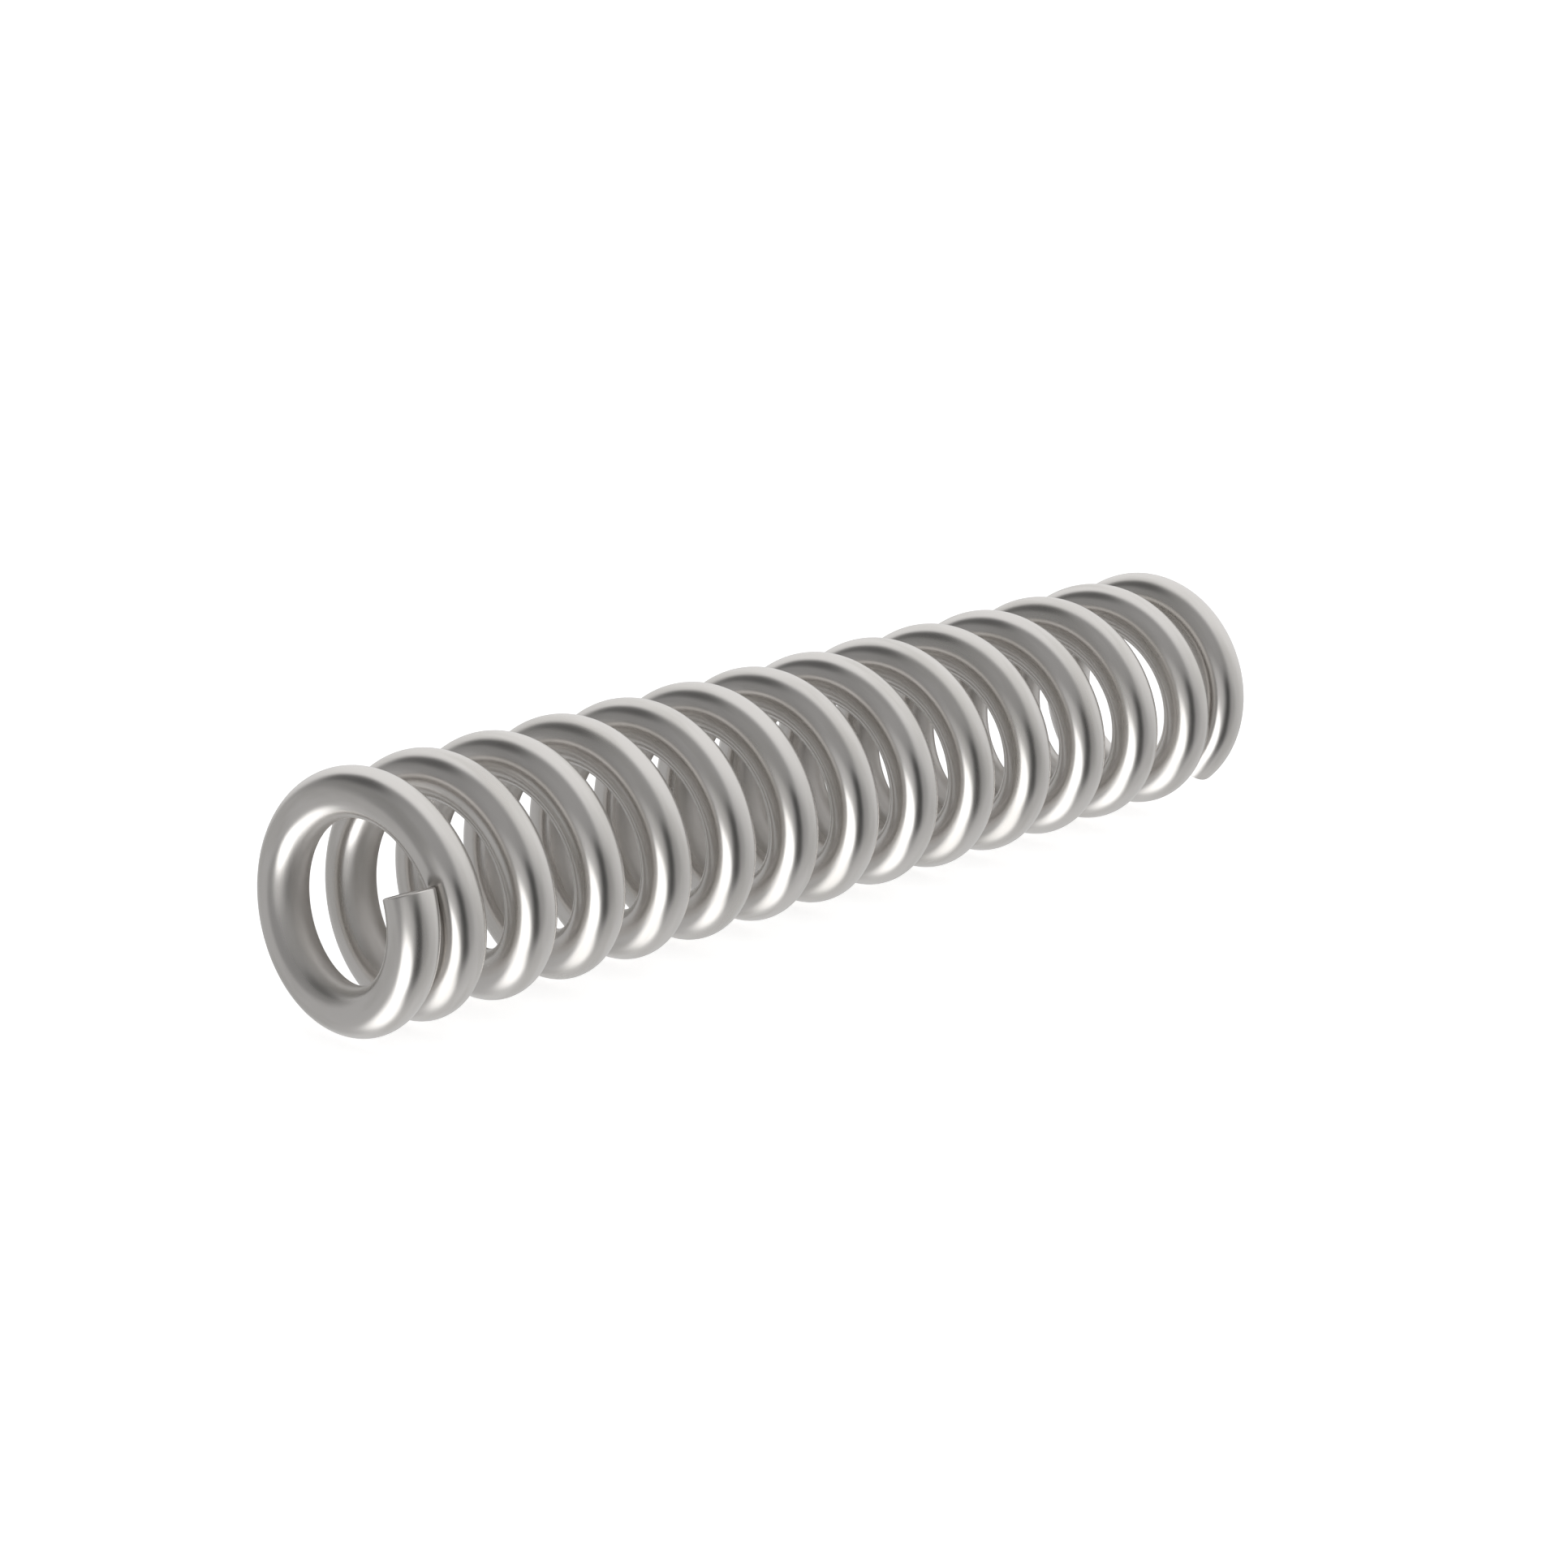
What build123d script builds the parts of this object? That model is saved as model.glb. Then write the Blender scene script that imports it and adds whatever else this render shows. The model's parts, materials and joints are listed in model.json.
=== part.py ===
"""Helical compression spring: one length of round wire with closed, square-cut ends.

The spring lies on its side. Its axis is the X axis, with the near end at -X and
the far end at +X. The origin is on the axis, halfway along the spring, which is
also the centre of its bounding box. The wire is wound right-handed.

The real spring is a single wire. It is divided here on planes that hold the
spring axis: one length for each turn that moves by itself when the spring is
squeezed, and one for each end coil, which stays stiff and keeps its closed turn.
"""

import os
from math import atan, cos, pi, radians, sin

from build123d import *

os.makedirs("parts", exist_ok=True)

# ---- driving dimensions (mm, turns and degrees) ----
WIRE_DIAMETER = 3.5
OUTER_DIAMETER = 18.0
ACTIVE_PITCH = 6.3          # spacing of the open turns along the axis
TOTAL_TURNS = 14.19         # whole length of the wire, tip to tip
TIP_GAP = 0.1               # between each tip and the wire one turn behind it
TIP_ANGLE = 71.3            # near tip, measured from +Z by the right-hand rule about +X
FLEXING_COILS = 11          # single turns between the two end coils

# ---- sizes that follow ----
COIL_RADIUS = (OUTER_DIAMETER - WIRE_DIAMETER) / 2      # axis to the middle of the wire
END_COIL_TURNS = (TOTAL_TURNS - FLEXING_COILS) / 2

# At each end the pitch falls evenly, from the active pitch to nothing at the tip, over as
# many turns as bring the tip up to the wire behind it.
CLOSING_TURNS = 2 * (1 - (WIRE_DIAMETER + TIP_GAP) / ACTIVE_PITCH)

POINTS_PER_TURN = 24        # places on the centreline that its curve passes through
JOINT_ALLOWANCE = 0.012     # turns of spare wire on an end coil before its joint plane is cut
CUTTER_SIDE = 1.2 * WIRE_DIAMETER


def openness(turn):
    """Share of the active pitch at a place, this many turns from its tip, 0 to 1."""
    return min(max(turn / CLOSING_TURNS, 0), 1)


def held_back(turn):
    """Turns of advance that a closing end keeps back, this many turns from its tip."""
    closing = min(turn, CLOSING_TURNS)
    return closing - closing**2 / (2 * CLOSING_TURNS)


def distance_along(turn):
    """Distance along the axis from the near tip to a place on the centreline."""
    from_near = held_back(turn)
    from_far = held_back(TOTAL_TURNS) - held_back(TOTAL_TURNS - turn)
    return ACTIVE_PITCH * (turn - from_near - from_far)


def pitch_at(turn):
    """Advance along the axis per turn at a place on the centreline."""
    return ACTIVE_PITCH * (openness(turn) + openness(TOTAL_TURNS - turn) - 1)


def outward(turn):
    """Unit vector from the spring axis towards the wire."""
    angle = radians(TIP_ANGLE) + 2 * pi * turn
    return Vector(0, -sin(angle), cos(angle))


def around(turn):
    """Unit vector round the spring axis, the way the wire is wound."""
    angle = radians(TIP_ANGLE) + 2 * pi * turn
    return Vector(0, -cos(angle), -sin(angle))


def centre(turn):
    """Place on the wire's centreline, this many turns from the near tip."""
    middle = distance_along(TOTAL_TURNS) / 2
    return Vector(distance_along(turn) - middle, 0, 0) + outward(turn) * COIL_RADIUS


def tangent(turn):
    """Direction of the wire at a place on the centreline."""
    run = Vector(pitch_at(turn), 0, 0) + around(turn) * (2 * pi * COIL_RADIUS)
    return run.normalized()


def wire_length(first_turn, last_turn):
    """Sweep the wire either way, from its section on the plane that holds the spring axis.

    The section is an ellipse, longer along the axis the more the wire slopes. At a tip the
    wire doesn't slope, so there the section is round and the tip is square.
    """
    steps = round(abs(last_turn - first_turn) * POINTS_PER_TURN)
    turns = [first_turn + (last_turn - first_turn) * i / steps for i in range(steps + 1)]
    points = [centre(turn) for turn in turns]
    way = 1 if last_turn > first_turn else -1
    ends = (tangent(first_turn) * way, tangent(last_turn) * way)
    with BuildLine():
        path = Spline(*points, tangents=ends, tangent_scalars=(1, 1))
    slope = atan(pitch_at(first_turn) / (2 * pi * COIL_RADIUS))
    plane = Plane(origin=points[0], x_dir=outward(first_turn), z_dir=around(first_turn) * way)
    with BuildSketch(plane) as section:
        Ellipse(WIRE_DIAMETER / 2, WIRE_DIAMETER / 2 / cos(slope))
    sweep(section.sketch, path=path, is_frenet=True)


def cut_at_joint(turn, away):
    """Cut the wire on a joint plane, which holds the spring axis; away points off the wire."""
    joint_plane = Plane(origin=centre(turn), x_dir=outward(turn), z_dir=away)
    with Locations(joint_plane):
        Box(CUTTER_SIDE, CUTTER_SIDE, CUTTER_SIDE,
            align=(Align.CENTER, Align.CENTER, Align.MIN), mode=Mode.SUBTRACT)


# ---- near end coil: the closing turn with the square-cut near tip, and the start of the open wire ----
with BuildPart() as near_end_coil:
    wire_length(0, END_COIL_TURNS + JOINT_ALLOWANCE)
    cut_at_joint(END_COIL_TURNS, around(END_COIL_TURNS))
near_end_coil.part.label = "near_end_coil"
export_step(near_end_coil.part, "parts/near_end_coil.step")

# ---- flexing coils: one turn of open wire each ----
for number in range(1, FLEXING_COILS + 1):
    first = END_COIL_TURNS + number - 1
    with BuildPart() as flexing_coil:
        wire_length(first, first + 1)
    flexing_coil.part.label = f"flexing_coil_{number:02d}"
    export_step(flexing_coil.part, f"parts/flexing_coil_{number:02d}.step")

# ---- far end coil: the end of the open wire, and the closing turn with the square-cut far tip ----
far_joint_turn = TOTAL_TURNS - END_COIL_TURNS
with BuildPart() as far_end_coil:
    wire_length(TOTAL_TURNS, far_joint_turn - JOINT_ALLOWANCE)
    cut_at_joint(far_joint_turn, -around(far_joint_turn))
far_end_coil.part.label = "far_end_coil"
export_step(far_end_coil.part, "parts/far_end_coil.step")
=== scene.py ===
"""Looks of a helical compression spring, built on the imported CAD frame.

One round wire is wound right-handed into open turns, with closed, square-cut
ends. The visible wire is made as lengths that run on from each other without a
step: a stiff length at each end, and one length for each turn that flexes.
"""

import json
import logging
import math
from dataclasses import dataclass, field
from enum import Enum

import bpy
import numpy as np
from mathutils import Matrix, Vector

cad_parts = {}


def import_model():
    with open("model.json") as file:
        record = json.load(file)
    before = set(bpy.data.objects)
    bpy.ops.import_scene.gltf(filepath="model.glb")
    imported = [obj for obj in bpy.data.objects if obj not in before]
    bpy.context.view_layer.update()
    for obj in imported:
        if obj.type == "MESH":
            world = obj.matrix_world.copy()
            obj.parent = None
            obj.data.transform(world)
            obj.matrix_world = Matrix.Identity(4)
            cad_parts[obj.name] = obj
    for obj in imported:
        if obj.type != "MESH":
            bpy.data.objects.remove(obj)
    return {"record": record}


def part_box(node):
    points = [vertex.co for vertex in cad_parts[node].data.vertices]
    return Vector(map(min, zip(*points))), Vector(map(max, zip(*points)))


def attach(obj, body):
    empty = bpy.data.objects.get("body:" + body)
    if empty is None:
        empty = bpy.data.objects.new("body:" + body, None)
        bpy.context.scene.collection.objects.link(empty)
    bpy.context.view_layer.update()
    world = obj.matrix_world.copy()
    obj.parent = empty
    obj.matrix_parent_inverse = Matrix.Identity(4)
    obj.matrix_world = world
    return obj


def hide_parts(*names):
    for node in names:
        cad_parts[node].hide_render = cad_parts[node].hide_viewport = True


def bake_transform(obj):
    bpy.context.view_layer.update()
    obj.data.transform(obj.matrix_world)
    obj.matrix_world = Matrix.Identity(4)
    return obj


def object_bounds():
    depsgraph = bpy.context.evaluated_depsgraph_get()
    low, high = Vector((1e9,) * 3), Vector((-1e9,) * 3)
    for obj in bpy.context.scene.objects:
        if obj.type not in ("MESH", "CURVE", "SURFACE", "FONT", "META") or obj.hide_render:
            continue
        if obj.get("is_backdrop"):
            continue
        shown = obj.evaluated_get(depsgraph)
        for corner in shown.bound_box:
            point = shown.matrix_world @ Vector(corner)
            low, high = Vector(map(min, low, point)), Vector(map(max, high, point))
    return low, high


log = logging.getLogger("spring")
MM = 0.001


class Winding(Enum):
    """Hand of the helix, seen as the sign of its turn about the spring axis."""

    RIGHT_HAND = 1.0
    LEFT_HAND = -1.0


class WireEnd(Enum):
    """The two ends of the wire."""

    NEAR = "near"
    FAR = "far"


def linear_colour(hex_code: str) -> tuple[float, float, float, float]:
    """Turn an sRGB hex colour into linear values for a shader.

    Args:
        hex_code: six hex digits, such as "c8c3be".

    Returns:
        Linear red, green, blue and an alpha of 1.
    """
    parts = [int(hex_code[i : i + 2], 16) / 255 for i in (0, 2, 4)]
    lin = [c / 12.92 if c <= 0.04045 else ((c + 0.055) / 1.055) ** 2.4 for c in parts]
    return (lin[0], lin[1], lin[2], 1.0)


def add_node(tree: bpy.types.NodeTree, kind: str, settings: dict | None = None,
             inputs: dict | None = None) -> bpy.types.Node:
    """Add a shader node with its settings and links.

    Args:
        tree: node tree to add to.
        kind: node type, such as "ShaderNodeTexNoise".
        settings: attribute names and values of the node.
        inputs: input names or numbers, each with a value or with another
            node's output socket to link from.

    Returns:
        The new node.
    """
    node = tree.nodes.new(kind)
    for name, value in (settings or {}).items():
        setattr(node, name, value)
    for name, value in (inputs or {}).items():
        if isinstance(value, bpy.types.NodeSocket):
            tree.links.new(value, node.inputs[name])
        else:
            node.inputs[name].default_value = value
    return node


@dataclass(frozen=True)
class SpringForm:
    """Sizes of the spring and the formula of its wire, in metres and turns.

    Attributes:
        wire_radius: half the thickness of the wire.
        coil_radius: from the spring axis to the middle of the wire.
        active_pitch: advance per turn in the open turns.
        total_turns: length of the wire from tip to tip, in turns.
        tip_gap: between each tip and the wire one turn behind it.
        stiff_turns: wire at each end that doesn't flex.
        tip_angle: where the near tip lies, in radians from the top.
        winding: hand of the helix.
    """

    wire_radius: float
    coil_radius: float
    active_pitch: float
    total_turns: float
    tip_gap: float
    stiff_turns: float
    tip_angle: float
    winding: Winding

    @property
    def closing_turns(self) -> float:
        """Turns at each end over which the pitch falls evenly to nothing.

        Half of them are kept back, which brings the tip up to the wire one
        turn behind it.
        """
        tip_pitch = 2 * self.wire_radius + self.tip_gap
        return 2 * (1 - tip_pitch / self.active_pitch)

    @property
    def flexing_turns(self) -> int:
        """Number of turns that open and close."""
        return round(self.total_turns - 2 * self.stiff_turns)

    def held_back(self, turn: np.ndarray) -> np.ndarray:
        """Turns of advance that a closing end keeps back.

        With c closing turns the pitch rises from the tip as t / c, so what is
        kept back grows along t - t^2 / 2c and then stays.

        Args:
            turn: turns from that end's tip.

        Returns:
            Turns kept back up to there.
        """
        closing = np.minimum(turn, self.closing_turns)
        return closing - closing**2 / (2 * self.closing_turns)

    def distance_along(self, turn: np.ndarray) -> np.ndarray:
        """Distance along the axis from the near tip.

        Args:
            turn: turns from the near tip.

        Returns:
            The active pitch times the turns, less those that the two
            closing ends keep back.
        """
        whole = np.asarray(self.total_turns)
        kept = self.held_back(turn) + self.held_back(whole) - self.held_back(whole - turn)
        return self.active_pitch * (turn - kept)

    def outward(self, turn: np.ndarray) -> np.ndarray:
        """Unit vectors from the spring axis towards the wire, one row a place."""
        angle = self.winding.value * (self.tip_angle + 2 * np.pi * turn)
        return np.stack([np.zeros_like(angle), -np.sin(angle), np.cos(angle)], axis=-1)

    def centre(self, turn: np.ndarray) -> np.ndarray:
        """Places on the wire's centreline: out from the axis by the coil radius."""
        along = self.distance_along(turn) - self.distance_along(np.asarray(self.total_turns)) / 2
        axis = np.stack([along, np.zeros_like(along), np.zeros_like(along)], axis=-1)
        return axis + self.outward(turn) * self.coil_radius

    def tangent(self, turn: np.ndarray) -> np.ndarray:
        """Unit direction of the wire, from centres a thousandth of a turn apart."""
        step = 0.0005
        run = self.centre(turn + step) - self.centre(turn - step)
        return run / np.linalg.norm(run, axis=-1, keepdims=True)

    @property
    def wire_per_turn(self) -> float:
        """Length of wire in one open turn."""
        return math.hypot(2 * math.pi * self.coil_radius, self.active_pitch)


@dataclass(frozen=True)
class DrawnWireFinish:
    """Bright drawn stainless spring wire.

    The wire is pulled through a polished die and coiled bright, with no
    plating. To the eye it is a smooth satin metal, slightly warm, with very
    faint lines along the wire from the die and a slow change in gloss where
    the drawing soap was wiped off. The inside of the coil is duller, where
    the wire was pressed against the arbor that it was wound on.

    Attributes:
        colour: sRGB of the metal.
        dull_colour: sRGB where soap film has dulled it a little.
        roughness: middle of its range.
        gloss_change: how far the roughness goes each way.
        noise_range: values of the film's noise that take the roughness from
            one end of its range to the other.
        film_length: size of a patch of soap film along the wire, in metres.
        film_width: size of a patch of soap film across the wire, in metres.
        film_range: values of the film's noise where the dulling starts and
            where it is complete.
        arbor_dulling: roughness that the arbor adds on the inside of the coil.
        arbor_range: places across the wire where that starts and where it is
            complete, in metres from its middle and away from the spring axis.
        line_gap: spacing of the die lines in metres. Real ones are about
            0.02 mm apart, too fine to show, so these are drawn wider.
        line_aspect: width of a die line over its length.
        line_depth: depth of the die lines in metres.
    """

    colour: str = "dcd9d6"
    dull_colour: str = "d2cfcb"
    roughness: float = 0.24
    gloss_change: float = 0.025
    noise_range: tuple[float, float] = (0.3, 0.7)
    film_length: float = 8.333 * MM
    film_width: float = 1.613 * MM
    film_range: tuple[float, float] = (0.42, 0.66)
    arbor_dulling: float = 0.2
    arbor_range: tuple[float, float] = (-1.0 * MM, -1.65 * MM)
    line_gap: float = 0.16 * MM
    line_aspect: float = 0.012
    line_depth: float = 0.0003 * MM

    def material(self) -> bpy.types.Material:
        """Make the material.

        Patterns read the wire as if it were pulled straight: the attribute
        straight_wire holds the distance along it and the place across it.

        Returns:
            The finished material.
        """
        material = bpy.data.materials.new("bright_drawn_stainless_wire")
        material.use_nodes = True
        tree = material.node_tree
        tree.nodes.clear()
        place = add_node(tree, "ShaderNodeAttribute", {"attribute_name": "straight_wire"})
        lines_at = add_node(tree, "ShaderNodeVectorMath", {"operation": "MULTIPLY"}, {
            0: place.outputs["Vector"],
            1: (self.line_aspect / self.line_gap, 1 / self.line_gap, 1 / self.line_gap)})
        lines = add_node(tree, "ShaderNodeTexNoise", None, {
            "Vector": lines_at.outputs[0], "Scale": 1.0, "Detail": 3.0, "Roughness": 0.55})
        film_at = add_node(tree, "ShaderNodeVectorMath", {"operation": "MULTIPLY"}, {
            0: place.outputs["Vector"],
            1: (1 / self.film_length, 1 / self.film_width, 1 / self.film_width)})
        film = add_node(tree, "ShaderNodeTexNoise", None, {
            "Vector": film_at.outputs[0], "Scale": 1.0, "Detail": 4.0, "Roughness": 0.5})
        film_share = add_node(tree, "ShaderNodeMapRange", {"interpolation_type": "SMOOTHSTEP"}, {
            "Value": film.outputs["Fac"],
            "From Min": self.film_range[0], "From Max": self.film_range[1]})
        colour = add_node(tree, "ShaderNodeMix", {"data_type": "RGBA"}, {
            0: film_share.outputs[0], 6: linear_colour(self.colour),
            7: linear_colour(self.dull_colour)})
        gloss = add_node(tree, "ShaderNodeMapRange", None, {
            "Value": film.outputs["Fac"],
            "From Min": self.noise_range[0], "From Max": self.noise_range[1],
            "To Min": self.roughness - self.gloss_change,
            "To Max": self.roughness + self.gloss_change})
        streak = add_node(tree, "ShaderNodeMath", {"operation": "MULTIPLY_ADD"}, {
            0: lines.outputs["Fac"], 1: self.gloss_change, 2: gloss.outputs[0]})
        parts = add_node(tree, "ShaderNodeSeparateXYZ", None, {0: place.outputs["Vector"]})
        rubbed = add_node(tree, "ShaderNodeMapRange", {"interpolation_type": "SMOOTHSTEP"}, {
            "Value": parts.outputs["Y"],
            "From Min": self.arbor_range[0], "From Max": self.arbor_range[1],
            "To Min": 0.0, "To Max": self.arbor_dulling})
        dulled = add_node(tree, "ShaderNodeMath", {"operation": "ADD"}, {
            0: streak.outputs[0], 1: rubbed.outputs[0]})
        bump = add_node(tree, "ShaderNodeBump", None, {
            "Strength": 1.0, "Distance": self.line_depth, "Height": lines.outputs["Fac"]})
        shader = add_node(tree, "ShaderNodeBsdfPrincipled", None, {
            "Metallic": 1.0, "Base Color": colour.outputs[2],
            "Roughness": dulled.outputs[0], "Normal": bump.outputs[0]})
        add_node(tree, "ShaderNodeOutputMaterial", None, {"Surface": shader.outputs[0]})
        return material


@dataclass(frozen=True)
class ShearedEndFinish:
    """The wire's cut end, sheared square and not ground.

    The cutter leaves a smooth, slightly scored crescent where it enters and a
    duller, grainy part where the rest of the wire breaks off.

    Attributes:
        cut_colour: sRGB of the scored part.
        break_colour: sRGB of the grainy part.
        cut_roughness: roughness of the scored part.
        break_roughness: roughness of the grainy part.
        break_range: places across the wire where the break ends and where the
            cut is clean, in metres from its middle and away from the axis.
        score_gap: spacing of the score lines in metres.
        score_aspect: width of a score line over its length.
        score_depth: depth of the score lines in metres.
        grain: size of the broken grains in metres.
    """

    cut_colour: str = "bdb8b3"
    break_colour: str = "8f8b87"
    cut_roughness: float = 0.3
    break_roughness: float = 0.52
    break_range: tuple[float, float] = (-0.7 * MM, -0.3 * MM)
    score_gap: float = 0.14 * MM
    score_aspect: float = 0.05
    score_depth: float = 0.006 * MM
    grain: float = 0.12 * MM

    def material(self) -> bpy.types.Material:
        """Make the material, on the same straight_wire places as the wire.

        Returns:
            The finished material.
        """
        material = bpy.data.materials.new("sheared_stainless_wire_end")
        material.use_nodes = True
        tree = material.node_tree
        tree.nodes.clear()
        place = add_node(tree, "ShaderNodeAttribute", {"attribute_name": "straight_wire"})
        parts = add_node(tree, "ShaderNodeSeparateXYZ", None, {0: place.outputs["Vector"]})
        broken = add_node(tree, "ShaderNodeMapRange", {"interpolation_type": "SMOOTHSTEP"}, {
            "Value": parts.outputs["Y"],
            "From Min": self.break_range[0], "From Max": self.break_range[1],
            "To Min": 1.0, "To Max": 0.0})
        score_at = add_node(tree, "ShaderNodeVectorMath", {"operation": "MULTIPLY"}, {
            0: place.outputs["Vector"],
            1: (1.0, self.score_aspect / self.score_gap, 1 / self.score_gap)})
        scores = add_node(tree, "ShaderNodeTexNoise", None, {
            "Vector": score_at.outputs[0], "Scale": 1.0, "Detail": 2.0})
        grains = add_node(tree, "ShaderNodeTexVoronoi", None, {
            "Vector": place.outputs["Vector"], "Scale": 1 / self.grain})
        height = add_node(tree, "ShaderNodeMix", {"data_type": "FLOAT"}, {
            0: broken.outputs[0], 2: scores.outputs["Fac"], 3: grains.outputs["Distance"]})
        colour = add_node(tree, "ShaderNodeMix", {"data_type": "RGBA"}, {
            0: broken.outputs[0], 6: linear_colour(self.cut_colour),
            7: linear_colour(self.break_colour)})
        rough = add_node(tree, "ShaderNodeMapRange", None, {
            "Value": broken.outputs[0],
            "To Min": self.cut_roughness, "To Max": self.break_roughness})
        bump = add_node(tree, "ShaderNodeBump", None, {
            "Strength": 1.0, "Distance": self.score_depth, "Height": height.outputs[0]})
        shader = add_node(tree, "ShaderNodeBsdfPrincipled", None, {
            "Metallic": 1.0, "Base Color": colour.outputs[2],
            "Roughness": rough.outputs[0], "Normal": bump.outputs[0]})
        add_node(tree, "ShaderNodeOutputMaterial", None, {"Surface": shader.outputs[0]})
        return material


@dataclass
class WireLength:
    """One closed length of the visible wire.

    Attributes:
        name: name of the piece.
        form: sizes of the whole spring.
        first_turn: where the length starts, in turns from the near tip.
        last_turn: where it ends.
        tip: which end of the wire it holds, or None for a length in between.
        rings_per_turn: rings of points along one turn.
        around: points round the wire.
        edge_radius: rounding where the shear drew the tip's edge over.
        edge_rings: rings over that rounding.
        edge_clearance: wire left without rings before the rounding, in edge
            radii from the tip.
        face_rings: radii of the rings on the cut face, as shares of its own.
    """

    name: str
    form: SpringForm
    first_turn: float
    last_turn: float
    tip: WireEnd | None = None
    rings_per_turn: int = 240
    around: int = 56
    edge_radius: float = 0.11 * MM
    edge_rings: int = 7
    edge_clearance: float = 1.5
    face_rings: tuple[float, ...] = (0.92, 0.75, 0.55, 0.35, 0.15)
    turns: np.ndarray = field(init=False, repr=False)
    setbacks: np.ndarray = field(init=False, repr=False)
    radii: np.ndarray = field(init=False, repr=False)
    tilts: np.ndarray = field(init=False, repr=False)

    def lay_out_rings(self) -> None:
        """Work out every ring's place, radius and slope.

        Along the wire the rings are evenly spaced. At a tip more rings follow:
        a quarter circle for the drawn-over edge, and then the cut face, which
        shrinks to its middle. A setback moves a ring off its turn along the
        wire, and a tilt is the angle of the surface normal from square to the
        wire towards the wire's own direction.
        """
        radius = self.form.wire_radius
        steps = round((self.last_turn - self.first_turn) * self.rings_per_turn)
        turns = np.linspace(self.first_turn, self.last_turn, steps + 1)
        setbacks = np.zeros_like(turns)
        radii = np.full_like(turns, radius)
        tilts = np.zeros_like(turns)
        if self.tip is not None:
            edge = self.edge_radius
            sweep = np.linspace(0, np.pi / 2, self.edge_rings)
            face = (radius - edge) * np.array(self.face_rings)
            end_setbacks = np.concatenate([edge * (np.sin(sweep) - 1), np.zeros_like(face)])
            end_radii = np.concatenate([radius - edge * (1 - np.cos(sweep)), face])
            end_tilts = np.concatenate([sweep, np.full_like(face, np.pi / 2)])
            tip_turn = self.last_turn if self.tip is WireEnd.FAR else self.first_turn
            clear = self.edge_clearance * edge / (2 * np.pi * self.form.coil_radius)
            kept = np.abs(turns - tip_turn) > clear
            end_turns = np.full_like(end_radii, tip_turn)
            arrays = [(turns[kept], end_turns), (setbacks[kept], end_setbacks),
                      (radii[kept], end_radii), (tilts[kept], end_tilts)]
            if self.tip is WireEnd.FAR:
                turns, setbacks, radii, tilts = (np.concatenate(a) for a in arrays)
            else:
                arrays[1] = (arrays[1][0], -end_setbacks)
                arrays[3] = (arrays[3][0], -end_tilts)
                turns, setbacks, radii, tilts = (
                    np.concatenate([end[::-1], body]) for body, end in arrays)
        self.turns, self.setbacks, self.radii, self.tilts = turns, setbacks, radii, tilts

    def surface(self) -> tuple[np.ndarray, np.ndarray, np.ndarray, np.ndarray]:
        """Work out every point of the tube.

        A point is the wire's centre, plus the ring's radius times the
        direction at its angle round the wire, plus the setback along the wire.
        The normal has the cosine of the tilt across the wire and its sine
        along it. The straight place is the same point on the wire pulled
        straight: the distance along it, and the place across it.

        Returns:
            Points and straight places, one row a point, with the middles of
            the first and last rings after all the rings. Then the normals, one
            row a point of a ring, and the wire's direction, one row a ring.
        """
        centre = self.form.centre(self.turns)
        along = self.form.tangent(self.turns)
        out = self.form.outward(self.turns)
        side = np.cross(along, out)
        side /= np.linalg.norm(side, axis=1, keepdims=True)
        out = np.cross(side, along)
        angle = np.arange(self.around) / self.around * 2 * np.pi
        across = (np.cos(angle)[None, :, None] * out[:, None, :]
                  + np.sin(angle)[None, :, None] * side[:, None, :])
        ring_centre = centre + along * self.setbacks[:, None]
        points = ring_centre[:, None, :] + across * self.radii[:, None, None]
        normals = (across * np.cos(self.tilts)[:, None, None]
                   + along[:, None, :] * np.sin(self.tilts)[:, None, None])
        run = self.turns * self.form.wire_per_turn + self.setbacks
        straight = np.stack(np.broadcast_arrays(
            run[:, None],
            self.radii[:, None] * np.cos(angle)[None, :],
            self.radii[:, None] * np.sin(angle)[None, :]), axis=-1)
        pole_straight = np.array([[run[0], 0, 0], [run[-1], 0, 0]])
        return (np.concatenate([points.reshape(-1, 3), ring_centre[[0, -1]]]),
                np.concatenate([straight.reshape(-1, 3), pole_straight]),
                normals.reshape(-1, 3), along)

    def faces(self) -> tuple[np.ndarray, np.ndarray]:
        """Number the corners of every face, turned outwards.

        Returns:
            Quads between the rings, then the triangles that close the first
            ring and the last one onto their middles.
        """
        rings = len(self.turns)
        index = np.arange(rings * self.around).reshape(rings, self.around)
        after = np.roll(index, -1, axis=1)
        quads = np.stack([index[:-1], after[:-1], after[1:], index[1:]], axis=-1).reshape(-1, 4)
        first_pole, last_pole = rings * self.around, rings * self.around + 1
        first_fan = np.stack([np.full(self.around, first_pole), after[0], index[0]], axis=-1)
        last_fan = np.stack([np.full(self.around, last_pole), index[-1], after[-1]], axis=-1)
        return quads, np.concatenate([first_fan, last_fan])

    def material_slots(self) -> np.ndarray:
        """Give each face its material slot: 1 on the cut face, 0 elsewhere."""
        square = np.isclose(np.abs(self.tilts), np.pi / 2)
        on_face = np.repeat(square[:-1] & square[1:], self.around)
        fan_on_face = np.repeat([self.tip is WireEnd.NEAR, self.tip is WireEnd.FAR], self.around)
        return np.concatenate([on_face, fan_on_face]).astype(np.int32)

    def build(self) -> bpy.types.Object:
        """Make the piece: a tube of rings, closed at both ends.

        Returns:
            The new object, linked to the scene.
        """
        self.lay_out_rings()
        vertices, straight, normals, along = self.surface()
        quads, fans = self.faces()
        corners = np.concatenate([quads.ravel(), fans.ravel()])
        sizes = np.concatenate([np.full(len(quads), 4), np.full(len(fans), 3)])
        starts = np.concatenate([[0], np.cumsum(sizes)[:-1]])

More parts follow.
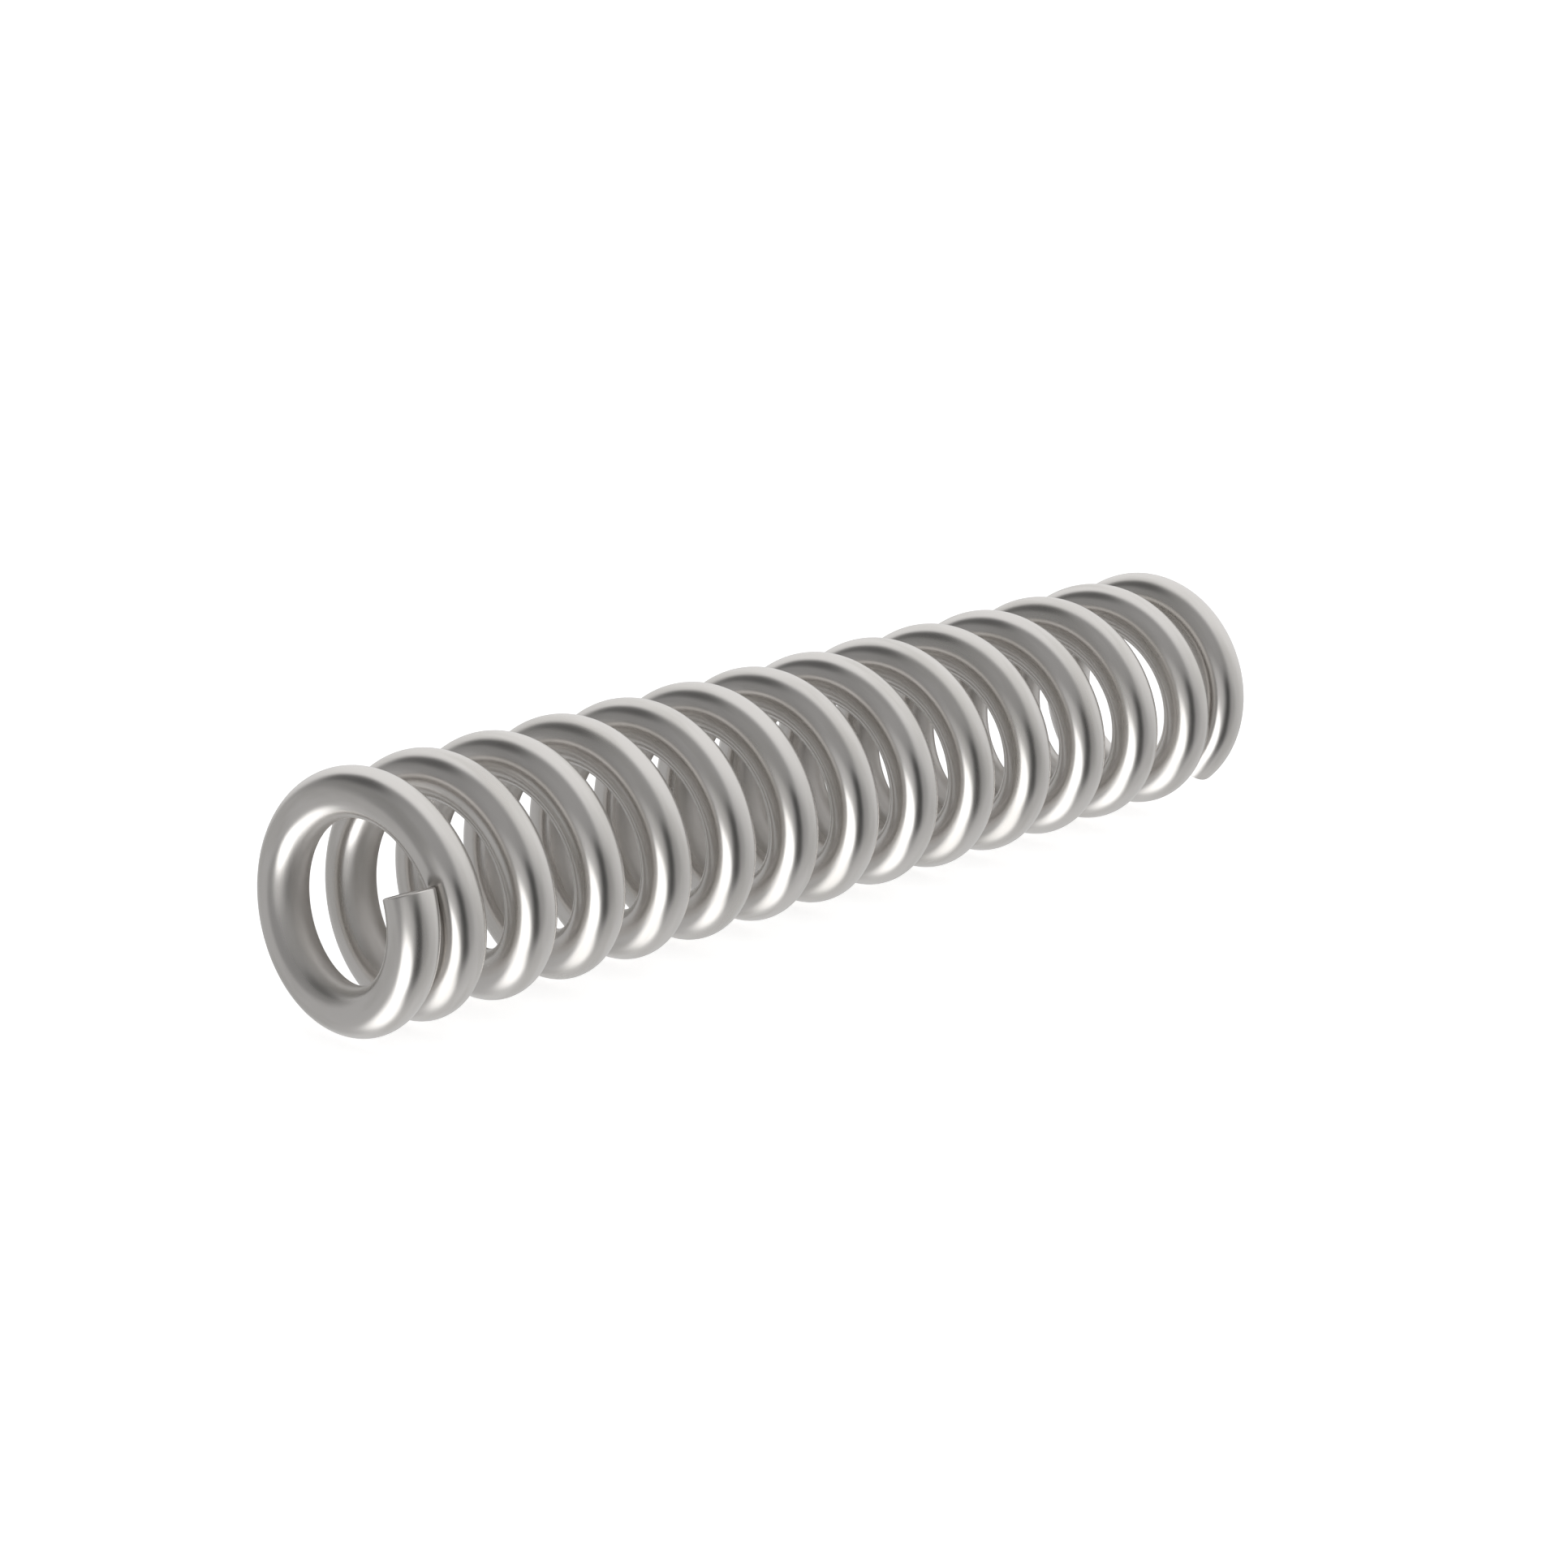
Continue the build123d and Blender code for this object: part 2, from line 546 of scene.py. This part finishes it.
        mesh = bpy.data.meshes.new(self.name)
        mesh.vertices.add(len(vertices))
        mesh.vertices.foreach_set("co", vertices.astype(np.float32).ravel())
        mesh.loops.add(len(corners))
        mesh.loops.foreach_set("vertex_index", corners.astype(np.int32))
        mesh.polygons.add(len(sizes))
        mesh.polygons.foreach_set("loop_start", starts.astype(np.int32))
        mesh.polygons.foreach_set("use_smooth", np.ones(len(sizes), dtype=bool))
        mesh.update(calc_edges=True)

        fan_normals = np.concatenate([np.repeat(-along[:1], 3 * self.around, axis=0),
                                      np.repeat(along[-1:], 3 * self.around, axis=0)])
        mesh.normals_split_custom_set(
            np.concatenate([normals[quads.ravel()], fan_normals]).tolist())
        holder = mesh.attributes.new("straight_wire", "FLOAT_VECTOR", "POINT")
        holder.data.foreach_set("vector", straight.astype(np.float32).ravel())
        mesh.polygons.foreach_set("material_index", self.material_slots())

        piece = bpy.data.objects.new(self.name, mesh)
        bpy.context.scene.collection.objects.link(piece)
        return piece


@dataclass
class EndCoil:
    """The stiff end of the spring: its closed turn and its square-cut tip.

    Attributes:
        form: sizes of the whole spring.
        end: which end it is.
        body: CAD body that it moves with.
    """

    form: SpringForm
    end: WireEnd
    body: str

    def build(self, wire: bpy.types.Material, cut: bpy.types.Material) -> bpy.types.Object:
        """Make the end's length of wire and fix it to its body.

        Args:
            wire: finish of the drawn wire.
            cut: finish of the sheared tip.

        Returns:
            The finished piece.
        """
        near = self.end is WireEnd.NEAR
        first = 0.0 if near else self.form.total_turns - self.form.stiff_turns
        last = self.form.stiff_turns if near else self.form.total_turns
        piece = WireLength(f"{self.end.value}_closed_end", self.form, first, last, self.end).build()
        piece.data.materials.append(wire)
        piece.data.materials.append(cut)
        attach(piece, self.body)
        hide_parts(self.body)
        return piece


@dataclass
class ActiveCoils:
    """The open turns, made as fixed lengths of wire; on the real spring they close and open as it
    is worked.

    Attributes:
        form: sizes of the whole spring.
        bodies: CAD bodies from the near end to the far end.
    """

    form: SpringForm
    bodies: list[str]

    def build(self, wire: bpy.types.Material) -> list[bpy.types.Object]:
        """Make one length of wire a turn, with its place baked in.

        Args:
            wire: finish of the drawn wire.

        Returns:
            The finished pieces, near end first.
        """
        pieces = []
        for number in range(1, self.form.flexing_turns + 1):
            first = self.form.stiff_turns + number - 1
            length = WireLength(f"active_turn_{number:02d}", self.form, first, first + 1)
            piece = length.build()
            piece.data.materials.append(wire)
            before, after = self.bodies[number - 1], self.bodies[number]
            ends = self.form.centre(np.array([first, first + 1]))
            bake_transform(piece)
            if number < self.form.flexing_turns:
                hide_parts(after)
            pieces.append(piece)
        return pieces


@dataclass(frozen=True)
class Reflector:
    """A soft-edged round area of the studio that the bright wire mirrors.

    Attributes:
        name: what it is in the studio.
        heading: direction along the floor, in degrees from +X towards +Y.
        height: degrees above the floor's level, or below it if negative.
        reach: half its width in degrees, to the middle of its soft edge.
        softness: width of its soft edge in degrees.
        brightness: its light, with 1 as paper white.
    """

    name: str
    heading: float
    height: float
    reach: float
    softness: float
    brightness: float

    def direction(self) -> tuple[float, float, float]:
        """Unit vector towards its middle."""
        flat = math.cos(math.radians(self.height))
        return (flat * math.cos(math.radians(self.heading)),
                flat * math.sin(math.radians(self.heading)),
                math.sin(math.radians(self.height)))


@dataclass
class Studio:
    """Pale floor, soft light all round and the camera.

    Attributes:
        room: brightness of the plain walls.
        reflectors: soft areas laid over the walls, in order.
        floor_size: side of the floor in metres.
        floor_colour: sRGB of the floor.
        floor_roughness: how matt the floor is.
        floor_glow: light that the floor adds to what falls on it.
        backdrop: brightness of what the camera sees behind the floor.
        heading: way the camera looks along the floor, in degrees from +X to +Y.
        downward: how far the camera looks down, in degrees.
        distance: from the camera to the middle of the spring, in metres.
        lens: focal length in millimetres.
        sensor_width: width of the picture in the camera, in millimetres.
        clip_range: nearest and farthest distance that shows, in metres.
    """

    room: float = 0.57
    reflectors: tuple[Reflector, ...] = (
        Reflector("pale ceiling", 20, 55, 56, 90, 0.96),
        Reflector("dim left wall", 184, 2, 86, 20, 0.31),
        Reflector("paler near part of that wall", -138, 34, 26, 34, 0.375),
        Reflector("corner of the left wall", 127, 54, 14, 22, 0.10),
        Reflector("foot of that corner", 110, 38, 9, 14, 0.12),
        Reflector("paler floor beyond", 25, -52, 34, 24, 0.66),
        Reflector("low left wall", 122, -24, 38, 16, 0.49),
        Reflector("glow of the card on the wall", -150, -13, 20, 24, 0.60),
        Reflector("grey beside the flag", -94, -22, 25, 26, 0.39),
        Reflector("white card", -163, -40, 22, 8, 2.1),
        Reflector("white card, far half", 162, -64, 20, 16, 1.65),
        Reflector("black flag, top", -107, -3, 10, 16, 0.03),
        Reflector("black flag", -107, -22, 11, 16, 0.03),
        Reflector("black flag, foot", -109, -43, 12, 18, 0.04),
    )
    floor_size: float = 6.0
    floor_colour: str = "f5f5f5"
    floor_roughness: float = 0.9
    floor_glow: float = 0.72
    backdrop: float = 1.2
    heading: float = 43.97
    downward: float = 15.38
    distance: float = 0.3053
    lens: float = 96.4
    sensor_width: float = 36.0
    clip_range: tuple[float, float] = (0.005, 20.0)

    def hang_world(self) -> None:
        """Light the room: plain walls with the reflectors painted over them.

        For each reflector the cosine of the angle from its middle goes through
        a smooth step over its soft edge, and mixes its brightness in. The
        camera itself sees plain white behind the floor.
        """
        world = bpy.data.worlds.new("soft_studio")
        bpy.context.scene.world = world
        world.use_nodes = True
        tree = world.node_tree
        tree.nodes.clear()
        looking = add_node(tree, "ShaderNodeTexCoord")
        light = None
        for item in self.reflectors:
            cosine = add_node(tree, "ShaderNodeVectorMath", {"operation": "DOT_PRODUCT"}, {
                0: looking.outputs["Generated"], 1: item.direction()})
            outer = math.cos(math.radians(item.reach + item.softness / 2))
            inner = math.cos(math.radians(item.reach - item.softness / 2))
            mask = add_node(tree, "ShaderNodeMapRange", {"interpolation_type": "SMOOTHSTEP"}, {
                "Value": cosine.outputs["Value"], "From Min": outer, "From Max": inner})
            before = self.room if light is None else light
            light = add_node(tree, "ShaderNodeMix", {"data_type": "FLOAT"}, {
                0: mask.outputs[0], 2: before, 3: item.brightness}).outputs[0]
        seen = add_node(tree, "ShaderNodeLightPath")
        glow = add_node(tree, "ShaderNodeMix", {"data_type": "FLOAT"}, {
            0: seen.outputs["Is Camera Ray"], 2: light, 3: self.backdrop})
        back = add_node(tree, "ShaderNodeBackground", None, {
            "Color": (1.0, 1.0, 1.0, 1.0), "Strength": glow.outputs[0]})
        add_node(tree, "ShaderNodeOutputWorld", None, {"Surface": back.outputs[0]})

    def lay_floor(self, level: float) -> None:
        """Lay the pale floor at the spring's lowest point.

        Args:
            level: height of the floor in metres.
        """
        half = self.floor_size / 2
        mesh = bpy.data.meshes.new("floor")
        mesh.from_pydata([(-half, -half, level), (half, -half, level),
                          (half, half, level), (-half, half, level)], [], [(0, 1, 2, 3)])
        material = bpy.data.materials.new("matt_white_laminate")
        material.use_nodes = True
        tree = material.node_tree
        tree.nodes.clear()
        shader = add_node(tree, "ShaderNodeBsdfPrincipled", None, {
            "Base Color": linear_colour(self.floor_colour),
            "Roughness": self.floor_roughness,
            "Emission Color": linear_colour(self.floor_colour),
            "Emission Strength": self.floor_glow})
        add_node(tree, "ShaderNodeOutputMaterial", None, {"Surface": shader.outputs[0]})
        mesh.materials.append(material)
        floor = bpy.data.objects.new("floor", mesh)
        bpy.context.scene.collection.objects.link(floor)
        floor.visible_glossy = False
        floor.visible_shadow = False
        floor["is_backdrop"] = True

    def place_camera(self, middle: Vector) -> None:
        """Create the camera, level and aimed at the middle of the spring.

        Args:
            middle: point to look at, in metres.
        """
        down = math.radians(self.downward)
        along = math.radians(self.heading)
        looking = Vector((math.cos(down) * math.cos(along),
                          math.cos(down) * math.sin(along), -math.sin(down)))
        data = bpy.data.cameras.new("studio_camera")
        data.lens = self.lens
        data.sensor_width = self.sensor_width
        data.clip_start, data.clip_end = self.clip_range
        camera = bpy.data.objects.new("studio_camera", data)
        camera.location = middle - looking * self.distance
        camera.rotation_euler = looking.to_track_quat("-Z", "Y").to_euler()
        bpy.context.scene.collection.objects.link(camera)
        bpy.context.scene.camera = camera

    def build(self, low: Vector, high: Vector) -> None:
        """Set up floor, light and camera round the object.

        Args:
            low: lowest corner of the object's box.
            high: highest corner of the object's box.
        """
        self.hang_world()
        self.lay_floor(low.z)
        self.place_camera((low + high) / 2)
        bpy.context.scene.view_settings.view_transform = "Standard"


def read_form(frame: dict, low: Vector, high: Vector) -> SpringForm:
    """Take the spring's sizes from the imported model.

    The outside radius is half the box's height, the inside radius is the guide
    rod way's, and the pitch is the step from one flexing coil to the next.

    Args:
        low: lowest corner of the CAD box.
        high: highest corner of the CAD box.

    Returns:
        The spring's form.
    """
    mounts = {m["name"]: m for m in frame["record"]["mounts"]}
    outside = (high.z - low.z) / 2
    inside = mounts["guide_rod_way"]["dims"]["r_mm"] * MM
    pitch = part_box("flexing_coil_02")[0][0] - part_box("flexing_coil_01")[0][0]
    return SpringForm(
        wire_radius=(outside - inside) / 2,
        coil_radius=(outside + inside) / 2,
        active_pitch=pitch,
        total_turns=14.19,
        tip_gap=0.1 * MM,
        stiff_turns=1.095,
        tip_angle=math.radians(71.3),
        winding=Winding.RIGHT_HAND,
    )


def main() -> None:
    """Build the spring and its studio, and report each piece."""
    logging.basicConfig(level=logging.INFO, format="%(name)s: %(message)s")
    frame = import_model()
    cad_low, cad_high = (Vector(corner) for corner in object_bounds())
    form = read_form(frame, cad_low, cad_high)
    wire = DrawnWireFinish().material()
    cut = ShearedEndFinish().material()
    bodies = ["near_end_coil"]
    bodies += [f"flexing_coil_{n:02d}" for n in range(1, form.flexing_turns)]
    bodies += ["far_end_coil"]
    made = [EndCoil(form, WireEnd.NEAR, bodies[0]).build(wire, cut)]
    made += ActiveCoils(form, bodies).build(wire)
    made += [EndCoil(form, WireEnd.FAR, bodies[-1]).build(wire, cut)]
    for piece in made:
        log.info("%s: %d faces", piece.name, len(piece.data.polygons))
    Studio().build(cad_low, cad_high)


if __name__ == "__main__":
    main()
